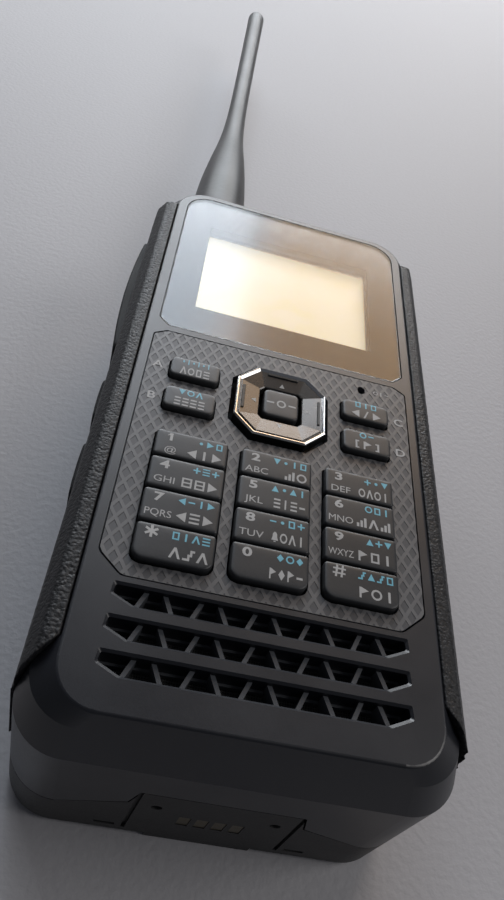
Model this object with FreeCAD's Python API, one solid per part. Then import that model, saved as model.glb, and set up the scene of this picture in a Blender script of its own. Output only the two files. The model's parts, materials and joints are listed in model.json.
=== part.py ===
# Handheld two way radio lying on its back: keypad and display face +Z, the antenna points along +Y.
# Millimetres. The origin is on the back face, in the middle of the body's length and width.
# Every piece is written as its own STEP file, named after the piece.
import FreeCAD
import Part
import math
import os

Vec = FreeCAD.Vector
X_AXIS = Vec(1, 0, 0)
Y_AXIS = Vec(0, 1, 0)

# ---- driving dimensions ----
half_length = 60.0            # body without antenna and knobs
core_half_width = 29.25       # body at the chin, where there is no grip
grip_half_width = 29.7        # over the side grips
front_z = 34.0                # front face above the back face
parting_z = 11.0              # joint between the front case and the battery
chamfer_z = 27.3              # where the slope round the front face starts
full_z = 31.6                 # the body keeps most of its width up to this height
full_half_width = 27.9
full_bottom_y = -57.7
flat_half_width = 24.9        # flat part of the front face
flat_bottom_y = -56.4
flat_top_y = 59.7
bottom_radius = 7.5           # corners of the body seen from the front
top_radius = 8.5
case_side_x = 25.15           # case wall under the grips
wall_x = 23.2                 # inside of the case
cavity_bottom_y = -56.5
cavity_top_y = 57.4
ceiling_z = 31.0              # inside of the front wall
grip_end_inner_y = -47.7      # the grips end on a slant
grip_end_slope = -1.18
grip_top_y = 53.5
back_edge_radius = 1.6        # round the back face
gap = 0.2                     # clearance round the antenna socket and the battery tongue
fine_gap = 0.2                # round the display window and the keypad panel
through = 1.0                 # how far a cutting tool runs past a face

# display
lens_half_width = 23.05
lens_bottom_y = 13.6
lens_top_y = 58.0
lens_z = 32.25
window_half_width = 17.4
window_bottom_y = 21.0
window_top_y = 48.3

# keypad
bezel_half_width = 23.3
bezel_top_y = 11.9
bezel_bottom_y = -38.0
bezel_low_z = 32.15
bezel_high_z = 33.95
key_top_z = 35.1
key_foot_z = 31.2
key_pitch_x = 13.58
key_half_width = 5.65
row_tops = (-12.0, -17.45, -23.55, -29.65)
row_bottoms = (-17.1, -23.2, -29.3, -35.5)
side_key_x = 15.2
side_key_half_width = 4.2
side_key_rows = ((0.5, 4.9), (-6.9, -2.2))
key_names = (("key_1", "key_4", "key_7", "key_star"),
             ("key_2", "key_5", "key_8", "key_0"),
             ("key_3", "key_6", "key_9", "key_hash"))

# direction pad
pad_y = -0.6
pad_half = 7.85
pad_cut = 3.4
pad_ring_z = 32.3             # top of the ring that carries the pad
membrane_z = 29.6
enter_half = 3.05

# speaker
slot_half_width = 20.3
slot_tops = (-39.35, -44.1, -48.85)
slot_height = 2.75
slot_bevel = 0.35
speaker_y = -42.0
speaker_radius = 13.6

# top end
mid_z = 17.0
antenna_x = -16.0
knob_x = 14.0
jack_radius = 3.15

# side buttons
ptt_span = (11.5, 47.5)
ptt_proud = 1.5               # at the middle, beyond the grip
ptt_end_proud = 0.4
side_button_proud = 0.5
power_span = (-6.5, 4.5)
monitor_span = (-22.5, -10.5)
button_z = (15.0, 27.0)

# side covers
jack_cover_span = (24.0, 46.0)
port_cover_span = (-12.0, 14.0)
cover_z = (13.4, 25.0)
cover_inner_x = 28.4
cover_outer_x = 29.9
cover_hinge_x = 29.2
cover_hinge_z = 12.9
jack_z = 19.0
jack_ys = (30.0, 40.0)
jack_radii = (1.30, 1.80)

# battery
battery_top_y = 28.3
battery_lid_z = 7.4
battery_front_z = 10.8
tongue_half_width = 10.9
tongue_z = 19.6
shoulder_half_width = 12.0
shoulder_z = 15.0
shoulder_foot_x = 22.0
chassis_z = 13.4
rail_x = 19.0
belt_hole_x = 10.0
belt_hole_y = 45.0
belt_hole_radius = 1.25

parts = {}


# ---- small tools ----
def block(x0, x1, y0, y1, z0, z1):
    return Part.makeBox(x1 - x0, y1 - y0, z1 - z0, Vec(x0, y0, z0))


def cylinder(radius, base, top):
    run = Vec(*top) - Vec(*base)
    return Part.makeCylinder(radius, run.Length, Vec(*base), run)


def corner_wire(corners, z):
    """A closed outline at height z from (x, y, radius) corners, with tangent arcs."""
    edges = []
    ends = []
    count = len(corners)
    for i in range(count):
        x, y, radius = corners[i]
        here = Vec(x, y, z)
        back = Vec(corners[i - 1][0], corners[i - 1][1], z) - here
        ahead = Vec(corners[(i + 1) % count][0], corners[(i + 1) % count][1], z) - here
        if radius <= 0:
            ends.append((here, here, None))
            continue
        back.normalize()
        ahead.normalize()
        half = back.getAngle(ahead) / 2
        reach = radius / math.tan(half)
        bisector = (back + ahead).normalize()
        middle = here + bisector * (radius / math.sin(half) - radius)
        ends.append((here + back * reach, here + ahead * reach, middle))
    for i in range(count):
        start, stop, middle = ends[i]
        if middle is not None:
            edges.append(Part.Arc(start, middle, stop).toShape())
        following = ends[(i + 1) % count][0]
        if (following - stop).Length > 1e-6:
            edges.append(Part.LineSegment(stop, following).toShape())
    return Part.Wire(edges)


def prism(corners, z0, z1):
    return Part.Face(corner_wire(corners, z0)).extrude(Vec(0, 0, z1 - z0))


def rounded_box(x0, x1, y0, y1, z0, z1, radius):
    corners = [(x0, y0, radius), (x1, y0, radius), (x1, y1, radius), (x0, y1, radius)]
    return prism(corners, z0, z1)


def revolve_y(profile, x, z):
    """Turns a (radius, y) profile about the line along Y through x and z."""
    points = [Vec(x + r, y, z) for r, y in profile]
    face = Part.Face(Part.makePolygon(points + [points[0]]))
    return face.revolve(Vec(x, 0, z), Y_AXIS, 360)


def soften(shape, radius, chosen):
    """Rounds the edges that `chosen` picks, and keeps the sharp shape if that fails."""
    edges = [e for e in shape.Edges if chosen(e)]
    if not edges:
        return shape
    try:
        rounded = shape.makeFillet(radius, edges)
        if rounded.isValid() and rounded.Volume > 0:
            return rounded
    except Exception:
        pass
    return shape


def edge_at_z(z):
    return lambda e: all(abs(v.Z - z) < 1e-4 for v in e.Vertexes)


def edge_at_x(x):
    return lambda e: all(abs(v.X - x) < 1e-4 for v in e.Vertexes)


def mirrored(shape):
    return shape.mirror(Vec(0, 0, 0), X_AXIS)


def keep(name, shape):
    parts[name] = shape


def group(shapes):
    return Part.makeCompound(shapes)


# ---- outlines seen from the front ----
def body_outline(half_width, bottom_y, top_y, low_radius, high_radius):
    return [(-half_width, bottom_y, low_radius), (half_width, bottom_y, low_radius),
            (half_width, top_y, high_radius), (-half_width, top_y, high_radius)]


def lens_outline(grow):
    w = lens_half_width + grow
    low = lens_bottom_y - grow
    high = lens_top_y + grow
    cut = 1.9
    return [(-w + cut, low, 0.8), (w - cut, low, 0.8), (w, low + cut, 0.8),
            (w, high, 5.0 + grow), (-w, high, 5.0 + grow), (-w, low + cut, 0.8)]


def bezel_outline(grow):
    w = bezel_half_width + grow
    low = bezel_bottom_y - grow
    high = bezel_top_y + grow
    return [(-w + 3.6, low, 1.6), (w - 3.6, low, 1.6), (w, low + 3.2, 1.6), (w, high - 1.4, 0.8),
            (w - 2.2, high, 0.8), (-w + 2.2, high, 0.8), (-w, high - 1.4, 0.8), (-w, low + 3.2, 1.6)]


def octagon(half, cut, radius):
    return [(-half + cut, pad_y - half, radius), (half - cut, pad_y - half, radius),
            (half, pad_y - half + cut, radius), (half, pad_y + half - cut, radius),
            (half - cut, pad_y + half, radius), (-half + cut, pad_y + half, radius),
            (-half, pad_y + half - cut, radius), (-half, pad_y - half + cut, radius)]


def slot_outline(top_y, grow):
    w = slot_half_width + grow
    low = top_y - slot_height - grow
    high = top_y + grow
    return [(-w + 3.2, low, 0.4), (w - 3.2, low, 0.4), (w, low + 1.5, 0.4),
            (w - 0.2, high, 0.3), (-w + 0.2, high, 0.3), (-w, low + 1.5, 0.4)]


def grip_outline(inner_x, reach):
    """The right grip from the front. reach grows it outwards, for use as a cutting tool."""
    outer = grip_half_width + reach
    end_y = grip_end_inner_y + grip_end_slope * (outer - inner_x)
    return [(inner_x, grip_end_inner_y, 0), (outer, end_y, 0), (outer, 50.0 + reach, 0),
            (28.6 + reach, grip_top_y, 0), (inner_x, grip_top_y, 0)]


# ---- casings ----
def body_core(z0):
    wide = body_outline(core_half_width, -half_length, half_length, bottom_radius, top_radius)
    flat = body_outline(flat_half_width, flat_bottom_y, flat_top_y, 6.0, 6.5)
    full = body_outline(full_half_width, full_bottom_y, flat_top_y + 0.15, 6.9, 7.8)
    lower = prism(wide, z0, chamfer_z)
    slope = Part.makeLoft([corner_wire(wide, chamfer_z), corner_wire(full, full_z),
                           corner_wire(flat, front_z)], True, True)
    core = lower.fuse(slope).removeSplitter()
    core = soften(core, 2.5, edge_at_z(chamfer_z))
    return soften(core, 0.5, edge_at_z(front_z))


def make_front_case():
    case = body_core(parting_z)
    channel = prism(grip_outline(case_side_x, 3.0), parting_z - through, front_z + through)
    case = case.cut(channel).cut(mirrored(channel))
    cavity = rounded_box(-wall_x, wall_x, cavity_bottom_y, cavity_top_y,
                         parting_z - through, ceiling_z, 4.0)
    tools = [cavity]
    tools.append(prism(lens_outline(fine_gap), lens_z - 0.05, front_z + through))
    tools.append(block(-18.6, 18.6, 19.6, 49.6, ceiling_z - through, lens_z + through))
    tools.append(prism(bezel_outline(fine_gap), bezel_low_z - 0.05, front_z + through))
    tools.append(rounded_box(-21.3, 21.3, -36.4, 10.4, ceiling_z - through, bezel_low_z + through, 2.0))
    for top_y in slot_tops:
        tools.append(prism(slot_outline(top_y, 0), ceiling_z - through, front_z + through))
    # openings for the side buttons, the sockets, the knobs, the lamp and the antenna
    for y0, y1 in (ptt_span, power_span, monitor_span):
        middle = (y0 + y1) / 2
        tools.append(block(-case_side_x - through, -wall_x + through,
                           middle - 3.2, middle + 3.2, 17.8, 24.2))
    tools.append(block(wall_x - through, case_side_x + through, 25.3, 44.7, 14.3, 23.7))
    tools.append(block(wall_x - through, case_side_x + through, -10.2, 12.2, 14.3, 23.7))
    tools.append(cylinder(jack_radius + gap, (antenna_x, cavity_top_y - through, mid_z),
                          (antenna_x, half_length + through, mid_z)))
    tools.append(cylinder(3.3, (knob_x, cavity_top_y - through, mid_z),
                          (knob_x, half_length + through, mid_z)))
    tools.append(cylinder(1.35, (0, cavity_top_y - through, 24), (0, half_length + through, 24)))
    # notch for the battery's tongue in the bottom end
    tools.append(tongue_shape(gap, -half_length - through, -57.5))
    for tool in tools:
        case = case.cut(tool)
    # slope round the edge of every speaker slot
    for top_y in slot_tops:
        case = case.cut(Part.makeLoft([corner_wire(slot_outline(top_y, -0.02), front_z - slot_bevel),
                                       corner_wire(slot_outline(top_y, slot_bevel + 0.02), front_z + 0.02)],
                                      True, True))
    keep("front_case", case)


def tongue_shape(grow, y0, y1):
    """The raised end of the battery seen from below the radio: a plate with a shoulder at each side."""
    right = [(shoulder_foot_x + grow, battery_front_z - 0.1),
             (shoulder_half_width + grow, shoulder_z + grow),
             (tongue_half_width + grow, tongue_z + grow)]
    outline = right + [(-x, z) for x, z in reversed(right)]
    points = [Vec(x, y0, z) for x, z in outline]
    return Part.Face(Part.makePolygon(points + [points[0]])).extrude(Vec(0, y1 - y0, 0))


def make_grille_ribs():
    """A plate behind the front wall whose zigzag ribs stand in the three speaker slots."""
    plate_low = ceiling_z - 1.0
    plate_high = ceiling_z - 0.05
    rib_top = front_z - 1.0
    plate = rounded_box(-21.5, 21.5, -53.4, -38.0, plate_low, plate_high, 2.0)
    pitch = 7.43
    first = -14.65
    lean = 0.6
    bar = 0.33
    for top_y in slot_tops:
        low = top_y - slot_height
        inset = slot_outline(top_y, -0.05)
        plate = plate.cut(prism(slot_outline(top_y, -0.35), plate_low - through, plate_high + through))
        bars = []
        for n in range(5):
            for side in (-1, 1):
                x = first + n * pitch + side * 1.85
                foot = x + side * lean
                head = x - side * lean
                corners = [Vec(foot - bar, low, plate_low), Vec(foot + bar, low, plate_low),
                           Vec(head + bar, top_y, plate_low), Vec(head - bar, top_y, plate_low)]
                face = Part.Face(Part.makePolygon(corners + [corners[0]]))
                bars.append(face.extrude(Vec(0, 0, rib_top - plate_low)))
        ribs = bars[0].multiFuse(bars[1:]).common(prism(inset, plate_low - through, rib_top + through))
        plate = plate.fuse(ribs)
    keep("grille_ribs", plate.removeSplitter())


def make_grips():
    section = [(case_side_x + 0.1, parting_z + 0.2), (28.8, parting_z + 0.2), (grip_half_width, 12.2),
               (grip_half_width, 27.5), (29.25, 31.3), (27.5, 33.9), (case_side_x + 0.1, 33.9)]
    points = [Vec(x, -60, z) for x, z in section]
    strip = Part.Face(Part.makePolygon(points + [points[0]])).extrude(Vec(0, 120, 0))
    strip = strip.common(prism(grip_outline(case_side_x + 0.1, 0.5), 0, front_z + through))
    strip = soften(strip, 1.2, lambda e: e.Length > 60 and min(v.Z for v in e.Vertexes) > 31
                   and min(v.X for v in e.Vertexes) > 27)
    right = strip
    for y0, y1 in (jack_cover_span, port_cover_span):
        right = right.cut(block(cover_inner_x - 0.2, 31, y0 - 0.3, y1 + 0.3,
                                cover_hinge_z - 1.1, cover_z[1] + 0.3))
        right = right.cut(block(24, 31, y0 + 1.3, y1 - 1.3, 14.3, 23.7))
    left = mirrored(strip)
    for y0, y1 in (ptt_span, power_span, monitor_span):
        left = left.cut(rounded_side(-31, -24, y0 - 0.3, y1 + 0.3,
                                     button_z[0] - 0.3, button_z[1] + 0.3, 2.3))
        left = left.cut(block(-27.1, -24, y0 - 1.2, y1 + 1.2, button_z[0] - 1.2, button_z[1] + 1.2))
    keep("side_grip_right", right)
    keep("side_grip_left", left)


def rounded_side(x0, x1, y0, y1, z0, z1, radius):
    """A rounded box whose corners are rounded as seen from the side."""
    flat = rounded_box(-z1, -z0, y0, y1, x0, x1, radius)
    flat.rotate(Vec(0, 0, 0), Y_AXIS, 90)
    return flat


def make_rear_chassis():
    """Metal plate behind the board, with grooves for the battery's rails and bosses for screws."""
    plate = rounded_box(-wall_x + 0.1, wall_x - 0.1, cavity_bottom_y + 0.1, cavity_top_y - 0.1,
                        parting_z + 0.1, chassis_z, 3.9)
    for x in (-rail_x, rail_x):
        plate = plate.cut(block(x - 1.3, x + 1.3, cavity_bottom_y - through, battery_top_y + 0.4,
                                parting_z - through, 12.7))
    plate = plate.cut(block(-8, 8, -52.5, -46.5, parting_z - through, 12.3))
    rim = rounded_box(-22.4, 22.4, -55.7, 44.5, chassis_z, chassis_z + 0.8, 3.0)
    rim = rim.cut(rounded_box(-21.2, 21.2, -54.5, 43.3, chassis_z - 1, chassis_z + 2, 2.0))
    plate = plate.fuse(rim)
    for x, y in boss_points():
        plate = plate.fuse(cylinder(2.2, (x, y, chassis_z - 0.5), (x, y, 19.0)))
    for x, y in boss_points():
        plate = plate.cut(cylinder(0.85, (x, y, 13.9), (x, y, 20.0)))
    for x, y in cover_screw_points():
        plate = plate.cut(cylinder(0.85, (x, y, parting_z - through), (x, y, chassis_z + through)))
    keep("rear_chassis", plate.removeSplitter())


def boss_points():
    return [(-18.5, -50.5), (18.5, -50.5), (-16.8, 39.5), (16.8, 39.5)]


def cover_screw_points():
    return [(-19.0, 52.0), (19.0, 52.0), (-19.0, 34.0), (19.0, 34.0)]


def back_shell(y0, y1, z1):
    """The outer form behind the parting line, between two heights along the body."""
    outline = body_outline(core_half_width, -half_length, half_length, bottom_radius, top_radius)
    shell = prism(outline, 0, z1)
    shell = soften(shell, back_edge_radius, edge_at_z(0))
    return shell.common(block(-40, 40, y0, y1, -1, z1 + 1))


def make_rear_cover():
    cover = back_shell(battery_top_y + 0.35, half_length + through, parting_z - 0.05)
    for x in (-belt_hole_x, belt_hole_x):
        cover = cover.cut(cylinder(belt_hole_radius, (x, belt_hole_y, -1), (x, belt_hole_y, 6.5)))
    for x, y in cover_screw_points():
        cover = cover.cut(cylinder(1.15, (x, y, -1), (x, y, parting_z + through)))
        cover = cover.cut(cylinder(2.2, (x, y, -1), (x, y, 2.0)))
    keep("rear_cover", cover)
    screws = []
    for x, y in cover_screw_points():
        head = cylinder(2.0, (x, y, 0.4), (x, y, 1.95))
        shank = cylinder(0.82, (x, y, 1.9), (x, y, 13.2))
        recess = cross_recess(x, y, 0.4, 1.0)
        screws.append(head.fuse(shank).cut(recess))
    return screws


def cross_recess(x, y, z, depth):
    arms = block(x - 1.1, x + 1.1, y - 0.25, y + 0.25, z - 0.1, z + depth)
    return arms.fuse(block(x - 0.25, x + 0.25, y - 1.1, y + 1.1, z - 0.1, z + depth))


# ---- display ----
def make_display():
    lens = prism(lens_outline(0), lens_z, front_z)
    keep("display_lens", soften(lens, 0.25, edge_at_z(front_z)))
    frame = block(-20.6, 20.6, 17.6, 51.6, 27.4, ceiling_z - 0.1)
    frame = frame.cut(block(-window_half_width, window_half_width, window_bottom_y, window_top_y,
                            ceiling_z - 0.6, ceiling_z + 1))
    frame = frame.fuse(block(-20.6, 20.6, -36.0, 18.0, 27.4, 28.9))
    frame = frame.cut(cylinder(speaker_radius + 0.4, (0, speaker_y, 26), (0, speaker_y, 30)))
    frame = frame.cut(cylinder(2.3, (14.9, 9.1, 26), (14.9, 9.1, 30)))
    keep("inner_frame", frame.removeSplitter())
    keep("display_panel", block(-window_half_width + 0.1, window_half_width - 0.1,
                                window_bottom_y + 0.1, window_top_y - 0.1,
                                ceiling_z - 0.58, ceiling_z - 0.15))


# ---- keypad ----
def make_bezel():
    bezel = prism(bezel_outline(0), bezel_low_z, bezel_high_z)
    low = row_bottoms[-1] - 0.3
    high = row_tops[0] + 0.3
    reach = key_half_width + 0.25
    for column in (-1, 0, 1):
        x = column * key_pitch_x
        corners = [(x - reach, low, 1.7), (x + reach, low, 1.7),
                   (x + reach, high, 0.7), (x - reach, high, 0.7)]
        bezel = bezel.cut(prism(corners, bezel_low_z - through, front_z + through))
    for x in (-side_key_x, side_key_x):
        for y0, y1 in side_key_rows:
            reach = side_key_half_width + 0.25
            bezel = bezel.cut(rounded_box(x - reach, x + reach, y0 - 0.25, y1 + 0.25,
                                          bezel_low_z - through, front_z + through, 1.0))
    bezel = bezel.cut(prism(octagon(pad_half + 0.75, pad_cut + 0.3, 0.6),
                            bezel_low_z - through, front_z + through))
    mic = rounded_box(14.2, 15.6, 8.2, 10.0, bezel_low_z - through, front_z + through, 0.65)
    keep("keypad_bezel", bezel.cut(mic))


def key_shape(x, y0, y1, half_width, radii, flange):
    """One key: a rounded cap on a foot that is wider than the opening at both sides."""
    low_radius, high_radius = radii
    corners = [(x - half_width, y0, low_radius), (x + half_width, y0, low_radius),
               (x + half_width, y1, high_radius), (x - half_width, y1, high_radius)]
    cap = prism(corners, key_foot_z, key_top_z)
    cap = soften(cap, 0.35, edge_at_z(key_top_z))
    foot = block(x - half_width - flange, x + half_width + flange, y0 + 0.9, y1 - 0.9, key_foot_z, 31.95)
    return cap.fuse(foot).removeSplitter()


def make_keys():
    for column in range(3):
        x = (column - 1) * key_pitch_x
        for row in range(4):
            low_radius = 1.5 if row == 3 else 0.45
            keep(key_names[column][row],
                 key_shape(x, row_bottoms[row], row_tops[row], key_half_width, (low_radius, 0.45), 0.6))
    names = (("key_a", "key_b"), ("key_c", "key_d"))
    for side in range(2):
        x = (-side_key_x, side_key_x)[side]
        for row in range(2):
            y0, y1 = side_key_rows[row]
            keep(names[side][row], key_shape(x, y0, y1, side_key_half_width, (0.9, 0.7), 0.6))


def make_direction_pad():
    tall = 35.2
    foot = 33.0
    rim = prism(octagon(pad_half, pad_cut, 0.4), foot, tall)
    rim = rim.cut(prism(octagon(pad_half - 0.62, pad_cut - 0.2, 0.3), foot - through, tall + through))
    keep("pad_rim", soften(rim, 0.2, edge_at_z(tall)))
    pad = prism(octagon(pad_half - 0.66, pad_cut - 0.2, 0.3), foot, tall - 0.15)
    hole = enter_half + 0.5
    pad = pad.cut(rounded_box(-hole, hole, pad_y - hole, pad_y + hole,
                              foot - through, tall + through, 1.0))
    # a shallow grip ledge at each of the four sides
    ledges = [block(-2.6, 2.6, pad_y + 6.1, pad_y + 6.8, tall - 0.35, tall),
              block(-2.6, 2.6, pad_y - 6.8, pad_y - 6.1, tall - 0.35, tall),
              block(6.1, 6.8, pad_y - 2.6, pad_y + 2.6, tall - 0.35, tall),
              block(-6.8, -6.1, pad_y - 2.6, pad_y + 2.6, tall - 0.35, tall)]
    for ledge in ledges:
        pad = pad.cut(ledge)
    # the pad rocks left and right on two lugs, and the ring below it rocks up and down on two more
    for y in (pad_y - 5.7, pad_y + 5.7):
        pad = pad.fuse(block(-0.3, 0.3, y - 0.5, y + 0.5, pad_ring_z + 0.06, foot + 0.1))
    keep("direction_pad", pad.removeSplitter())
    ring = prism(octagon(6.4, 2.8, 0.3), pad_ring_z - 0.6, pad_ring_z)
    hole = enter_half + 1.2
    ring = ring.cut(rounded_box(-hole, hole, pad_y - hole, pad_y + hole,
                                pad_ring_z - through, pad_ring_z + through, 1.0))
    for x in (-5.7, 5.7):
        ring = ring.fuse(block(x - 0.5, x + 0.5, pad_y - 0.3, pad_y + 0.3,
                               membrane_z + 0.06, pad_ring_z - 0.5))
    keep("pad_carrier", ring.removeSplitter())
    cap = rounded_box(-enter_half, enter_half, pad_y - enter_half, pad_y + enter_half,
                      key_foot_z, key_top_z, 0.9)
    keep("enter_key", soften(cap, 0.35, edge_at_z(key_top_z)))


def make_membrane():
    """The rubber sheet under the keys, with a dome below each key."""
    sheet = rounded_box(-20.9, 20.9, -36.0, 10.0, 29.0, membrane_z, 1.5)
    domes = []
    spots = [((column - 1) * key_pitch_x, (row_tops[row] + row_bottoms[row]) / 2)
             for column in range(3) for row in range(4)]
    spots += [(x, (y0 + y1) / 2) for x in (-side_key_x, side_key_x) for y0, y1 in side_key_rows]
    spots.append((0, pad_y))
    for x, y in spots:
        domes.append(Part.makeCone(1.7, 1.1, 0.85, Vec(x, y, membrane_z - 0.05)))
    keep("key_membrane", sheet.multiFuse(domes).removeSplitter())


# ---- electronics and speaker ----
def make_electronics(cover_screws):
    board = block(-21.8, 21.8, -55.0, 44.0, 19.1, 20.5)
    for x, y in boss_points():
        board = board.cut(cylinder(1.0, (x, y, 18), (x, y, 22)))
    for y in ((jack_cover_span[0] + jack_cover_span[1]) / 2, 1.0):
        board = board.cut(block(19.2, 23, y - 12, y + 12, 18, 22))
    board = board.cut(block(-23, -19.6, -24, 40, 18, 22))
    keep("main_board", board)
    screws = list(cover_screws)
    for x, y in boss_points():
        head = cylinder(1.6, (x, y, 20.55), (x, y, 21.5))
        screw = head.fuse(cylinder(0.8, (x, y, 14.0), (x, y, 20.6)))
        screws.append(screw.cut(cross_recess(x, y, 20.9, 0.7)))
    keep("case_screws", group(screws))
    can = block(-15, 15, -14, 14, 20.6, 23.6).cut(block(-14.6, 14.6, -13.6, 13.6, 20, 23.2))
    keep("radio_shield", can)
    capsule = cylinder(2.0, (14.9, 9.1, 24.6), (14.9, 9.1, 27.2))
    keep("microphone", capsule)
    tacts = []
    for y0, y1 in (ptt_span, power_span, monitor_span):
        middle = (y0 + y1) / 2
        tact = block(-23.9, -22.0, middle - 3.0, middle + 3.0, 18.0, 24.0)
        tacts.append(tact.fuse(cylinder(1.1, (-23.5, middle, 21), (-25.3, middle, 21))))
    keep("side_switches", group(tacts))


def make_speaker():
    frame = cylinder(speaker_radius, (0, speaker_y, 25.0), (0, speaker_y, 28.4))
    frame = frame.cut(Part.makeCone(7.0, 12.6, 3.0, Vec(0, speaker_y, 25.6)))
    frame = frame.fuse(cylinder(7.5, (0, speaker_y, 22.0), (0, speaker_y, 25.1)))
    dome = Part.makeSphere(9.0, Vec(0, speaker_y, 18.0))
    dome = dome.common(cylinder(6.0, (0, speaker_y, 25), (0, speaker_y, 29)))
    keep("speaker", frame.fuse(dome).removeSplitter())
    keep("speaker_cloth", block(-21.5, 21.5, -53.4, -38.2, 29.4, 29.9))


# ---- side buttons and covers ----
def side_button(span, middle_proud, end_proud):
    """A button with a bowed face and a flange that keeps it in the grip."""
    y0, y1 = span
    z0, z1 = button_z
    end_x = -grip_half_width - end_proud
    middle = Vec(-grip_half_width - middle_proud, (y0 + y1) / 2, z0 - through)
    low = Vec(end_x, y0 - 0.01, z0 - through)
    high = Vec(end_x, y1 + 0.01, z0 - through)
    inner_low = Vec(-26.3, low.y, low.z)
    inner_high = Vec(-26.3, high.y, high.z)
    edges = [Part.Arc(low, middle, high).toShape()]
    for start, stop in ((high, inner_high), (inner_high, inner_low), (inner_low, low)):
        edges.append(Part.LineSegment(start, stop).toShape())
    bow = Part.Face(Part.Wire(edges)).extrude(Vec(0, 0, z1 - z0 + 2 * through))
    cap = rounded_side(middle.x - through, -26.3, y0, y1, z0, z1, 2.0).common(bow)
    cap = soften(cap, 0.45, lambda e: max(v.X for v in e.Vertexes) < -grip_half_width + 0.1)
    flange = block(-26.95, -26.3, y0 - 0.8, y1 + 0.8, z0 - 0.8, z1 + 0.8)
    return cap.fuse(flange).removeSplitter()


def make_side_buttons():
    ptt = side_button(ptt_span, ptt_proud, ptt_end_proud)
    middle = (ptt_span[0] + ptt_span[1]) / 2
    for n in range(-2, 3):
        y = middle + 3.6 * n
        ptt = ptt.cut(block(-33, -grip_half_width - ptt_proud + 0.35, y - 0.35, y + 0.35, 17.5, 24.5))
    keep("talk_button", ptt)
    keep("power_button", side_button(power_span, side_button_proud, side_button_proud - 0.2))
    keep("monitor_button", side_button(monitor_span, side_button_proud, side_button_proud - 0.2))


def side_cover(span):
    y0, y1 = span
    plate = block(cover_inner_x, cover_outer_x, y0, y1, cover_z[0] - 0.4, cover_z[1])
    plate = soften(plate, 0.5, edge_at_x(cover_outer_x))
    lip = block(cover_outer_x - 0.1, cover_outer_x + 0.5, y0 + 5, y1 - 5,
                cover_z[1] - 1.7, cover_z[1] - 0.8)
    knuckle = cylinder(0.8, (cover_hinge_x, y0 + 0.2, cover_hinge_z),
                       (cover_hinge_x, y1 - 0.2, cover_hinge_z))
    return plate.fuse(lip).fuse(knuckle).removeSplitter()


def make_side_covers():
    keep("jack_cover", side_cover(jack_cover_span))
    keep("port_cover", side_cover(port_cover_span))
    jacks = block(19.5, 27.6, 25.5, 44.5, 14.5, 23.5)
    for y, radius in zip(jack_ys, jack_radii):
        jacks = jacks.cut(cylinder(radius, (20.6, y, jack_z), (28.0, y, jack_z)))
    keep("audio_jacks", jacks)
    ports = block(19.5, 27.6, -10.0, 12.0, 14.5, 23.5)
    ports = ports.cut(rounded_side(22.0, 28.0, -8.0, 0.9, 17.4, 20.6, 1.5))
    ports = ports.cut(block(22.0, 28.0, 3.5, 10.5, 18.3, 19.7))
    keep("port_block", ports.fuse(block(21.9, 26.6, -6.6, -0.5, 18.6, 19.4)).removeSplitter())


# ---- top end ----
def make_knobs():
    shaft = cylinder(1.55, (knob_x, 48.2, mid_z), (knob_x, 71.5, mid_z))
    keep("encoder_shaft", shaft)
    base = block(knob_x - 6, knob_x + 6, 46.5, 56.6, 14.0, 22.5)
    base = base.cut(cylinder(2.6, (knob_x, 49.2, mid_z), (knob_x, 58, mid_z)))
    base = base.cut(cylinder(1.62, (knob_x, 47.6, mid_z), (knob_x, 58, mid_z)))
    keep("encoder_body", base)
    ring = revolve_y([(1.65, 49.5), (2.55, 49.5), (2.55, 60.5), (8.4, 60.5), (8.4, 63.6), (7.9, 64.3),
                      (6.2, 64.5), (1.65, 64.5)], knob_x, mid_z)
    ring = ring.cut(knurl(8.55, 24, 0.35, 60.9, 64.0))
    keep("volume_ring", ring)
    knob = revolve_y([(1.57, 64.9), (6.7, 64.9), (6.4, 72.6), (5.6, 73.4), (0.0, 73.4),
                      (0.0, 71.6), (1.57, 71.6)], knob_x, mid_z)
    knob = knob.cut(knurl(6.9, 20, 0.45, 66.0, 72.0))
    keep("encoder_knob", knob)


def knurl(radius, count, depth_radius, y0, y1):
    flutes = []
    for n in range(count):
        turn = 2 * math.pi * n / count
        x = knob_x + radius * math.cos(turn)
        z = mid_z + radius * math.sin(turn)
        flutes.append(cylinder(depth_radius, (x, y0, z), (x, y1, z)))
    return group(flutes)


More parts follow.
